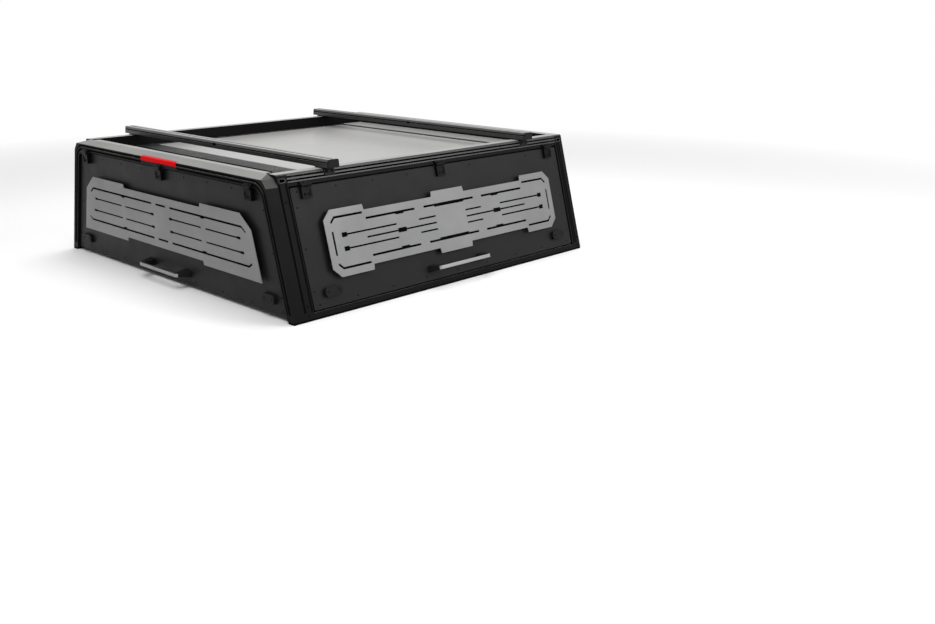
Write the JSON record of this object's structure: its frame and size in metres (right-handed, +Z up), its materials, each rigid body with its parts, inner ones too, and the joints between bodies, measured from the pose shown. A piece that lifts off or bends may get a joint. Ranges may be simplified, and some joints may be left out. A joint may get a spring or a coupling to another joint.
{
  "type": "truck canopy",
  "caption": "Low truck bed canopy of leaned posts and rails with top hinged side and rear doors, gas struts, slotted plates and roof cross bars.",
  "frame": {"origin": "middle of the whole canopy's outline, on the level that the gasket stands on", "axes": "+X to the front, where the truck's cab is; +Y to the left; +Z up"},
  "size_m": [1.734, 1.8264, 0.5647],
  "materials": {
    "bar_coat": "satin black anodised extrusion",
    "bar_metal": "brushed silver",
    "black_plastic": "matt black",
    "bright_steel": "polished",
    "frame_coat": "satin black powder coat",
    "hinge_coat": "satin black",
    "panel_coat": "fine textured black powder coat",
    "plate_coat": "satin silver grey coat",
    "red_lens": "red lens",
    "rubber": "matt black rubber",
    "tube_coat": "gloss black",
    "window_glass": "dark tinted glass"
  },
  "bodies": {
    "root": {"base_rail_right": "frame_coat", "base_rail_left": "frame_coat", "base_gasket": "rubber", "foot_castings": "frame_coat", "base_rail_front": "frame_coat", "side_rail_right": "frame_coat", "side_rail_left": "frame_coat", "side_posts": "frame_coat", "corner_castings": "frame_coat", "rear_posts": "frame_coat", "rear_beam": "frame_coat", "brake_lamp": "red_lens", "front_beam": "frame_coat", "front_wall": "frame_coat", "window_seal": "rubber", "front_window": "window_glass", "roof_rib_panel": "panel_coat", "roof_panel": "panel_coat", "roof_bows": "frame_coat", "cross_bar_rear": "bar_coat", "cross_bar_front": "bar_coat", "cross_bar_feet": "black_plastic", "cross_bar_caps": "black_plastic", "frame_hinge_leaves": "hinge_coat", "strut_arms": "frame_coat", "door_seals": "rubber"},
    "rear_door": {"rear_door_panel": "panel_coat", "rear_door_plate": "plate_coat", "rear_door_handle": "bar_metal", "rear_door_handle_feet": "black_plastic", "rear_door_latch_covers": "black_plastic", "rear_door_hinge_leaves": "hinge_coat", "rear_door_strut_brackets": "frame_coat"},
    "right_door": {"right_door_panel": "panel_coat", "right_door_plate": "plate_coat", "right_door_handle": "bar_metal", "right_door_handle_feet": "black_plastic", "right_door_latch_covers": "black_plastic", "right_door_hinge_leaves": "hinge_coat", "right_door_strut_brackets": "frame_coat"},
    "left_door": {"left_door_panel": "panel_coat", "left_door_plate": "plate_coat", "left_door_handle": "bar_metal", "left_door_handle_feet": "black_plastic", "left_door_latch_covers": "black_plastic", "left_door_hinge_leaves": "hinge_coat", "left_door_strut_brackets": "frame_coat"},
    "rear_door_strut_tube_first": {"rear_door_strut_tube_first": "tube_coat"},
    "rear_door_strut_rod_first": {"rear_door_strut_rod_first": "bright_steel"},
    "rear_door_strut_tube_second": {"rear_door_strut_tube_second": "tube_coat"},
    "rear_door_strut_rod_second": {"rear_door_strut_rod_second": "bright_steel"},
    "right_door_strut_tube_first": {"right_door_strut_tube_first": "tube_coat"},
    "right_door_strut_rod_first": {"right_door_strut_rod_first": "bright_steel"},
    "right_door_strut_tube_second": {"right_door_strut_tube_second": "tube_coat"},
    "right_door_strut_rod_second": {"right_door_strut_rod_second": "bright_steel"},
    "left_door_strut_tube_first": {"left_door_strut_tube_first": "tube_coat"},
    "left_door_strut_rod_first": {"left_door_strut_rod_first": "bright_steel"},
    "left_door_strut_tube_second": {"left_door_strut_tube_second": "tube_coat"},
    "left_door_strut_rod_second": {"left_door_strut_rod_second": "bright_steel"}
  },
  "joints": [
    {"name": "rear_door_hinge", "type": "hinge", "parent": "root", "child": "rear_door", "pos_m": [-0.826, 0, 0.48024], "axis": [0, 1, 0], "range_deg": [0, 80]},
    {"name": "rear_door_strut_tube_first_swing", "type": "hinge", "parent": "root", "child": "rear_door_strut_tube_first", "pos_m": [-0.721, -0.69371, 0.15024], "axis": [0, -1, 0], "range_deg": [0, 32.84]},
    {"name": "rear_door_strut_rod_first_slide", "type": "slide", "parent": "rear_door_strut_tube_first", "child": "rear_door_strut_rod_first", "axis": [-0.1081, 0, 0.9941], "range_m": [0, 0.06971]},
    {"name": "rear_door_strut_tube_second_swing", "type": "hinge", "parent": "root", "child": "rear_door_strut_tube_second", "pos_m": [-0.721, 0.69371, 0.15024], "axis": [0, -1, 0], "range_deg": [0, 32.84]},
    {"name": "rear_door_strut_rod_second_slide", "type": "slide", "parent": "rear_door_strut_tube_second", "child": "rear_door_strut_rod_second", "axis": [-0.1081, 0, 0.9941], "range_m": [0, 0.06971]},
    {"name": "right_door_hinge", "type": "hinge", "parent": "root", "child": "right_door", "pos_m": [0.0475, -0.75616, 0.48241], "axis": [-1, 0, 0], "range_deg": [0, 80]},
    {"name": "right_door_strut_tube_first_swing", "type": "hinge", "parent": "root", "child": "right_door_strut_tube_first", "pos_m": [0.773, -0.74015, 0.13648], "axis": [1, 0, 0], "range_deg": [0, 32.84]},
    {"name": "right_door_strut_rod_first_slide", "type": "slide", "parent": "right_door_strut_tube_first", "child": "right_door_strut_rod_first", "axis": [0, 0.1529, 0.9882], "range_m": [0, 0.06971]},
    {"name": "right_door_strut_tube_second_swing", "type": "hinge", "parent": "root", "child": "right_door_strut_tube_second", "pos_m": [-0.678, -0.74015, 0.13648], "axis": [1, 0, 0], "range_deg": [0, 32.84]},
    {"name": "right_door_strut_rod_second_slide", "type": "slide", "parent": "right_door_strut_tube_second", "child": "right_door_strut_rod_second", "axis": [0, 0.1529, 0.9882], "range_m": [0, 0.06971]},
    {"name": "left_door_hinge", "type": "hinge", "parent": "root", "child": "left_door", "pos_m": [0.0475, 0.75616, 0.48241], "axis": [1, 0, 0], "range_deg": [0, 80]},
    {"name": "left_door_strut_tube_first_swing", "type": "hinge", "parent": "root", "child": "left_door_strut_tube_first", "pos_m": [-0.678, 0.74015, 0.13648], "axis": [-1, 0, 0], "range_deg": [0, 32.84]},
    {"name": "left_door_strut_rod_first_slide", "type": "slide", "parent": "left_door_strut_tube_first", "child": "left_door_strut_rod_first", "axis": [0, -0.1529, 0.9882], "range_m": [0, 0.06971]},
    {"name": "left_door_strut_tube_second_swing", "type": "hinge", "parent": "root", "child": "left_door_strut_tube_second", "pos_m": [0.773, 0.74015, 0.13648], "axis": [-1, 0, 0], "range_deg": [0, 32.84]},
    {"name": "left_door_strut_rod_second_slide", "type": "slide", "parent": "left_door_strut_tube_second", "child": "left_door_strut_rod_second", "axis": [0, -0.1529, 0.9882], "range_m": [0, 0.06971]}
  ],
  "couplings": [
    {"joint": "rear_door_strut_tube_first_swing", "follows": "rear_door_hinge", "ratio": 0.41036},
    {"joint": "rear_door_strut_rod_first_slide", "follows": "rear_door_hinge", "m_per_rad": 0.049914},
    {"joint": "rear_door_strut_tube_second_swing", "follows": "rear_door_hinge", "ratio": 0.41036},
    {"joint": "rear_door_strut_rod_second_slide", "follows": "rear_door_hinge", "m_per_rad": 0.049914},
    {"joint": "right_door_strut_tube_first_swing", "follows": "right_door_hinge", "ratio": 0.41036},
    {"joint": "right_door_strut_rod_first_slide", "follows": "right_door_hinge", "m_per_rad": 0.049914},
    {"joint": "right_door_strut_tube_second_swing", "follows": "right_door_hinge", "ratio": 0.41036},
    {"joint": "right_door_strut_rod_second_slide", "follows": "right_door_hinge", "m_per_rad": 0.049914},
    {"joint": "left_door_strut_tube_first_swing", "follows": "left_door_hinge", "ratio": 0.41036},
    {"joint": "left_door_strut_rod_first_slide", "follows": "left_door_hinge", "m_per_rad": 0.049914},
    {"joint": "left_door_strut_tube_second_swing", "follows": "left_door_hinge", "ratio": 0.41036},
    {"joint": "left_door_strut_rod_second_slide", "follows": "left_door_hinge", "m_per_rad": 0.049914}
  ]
}
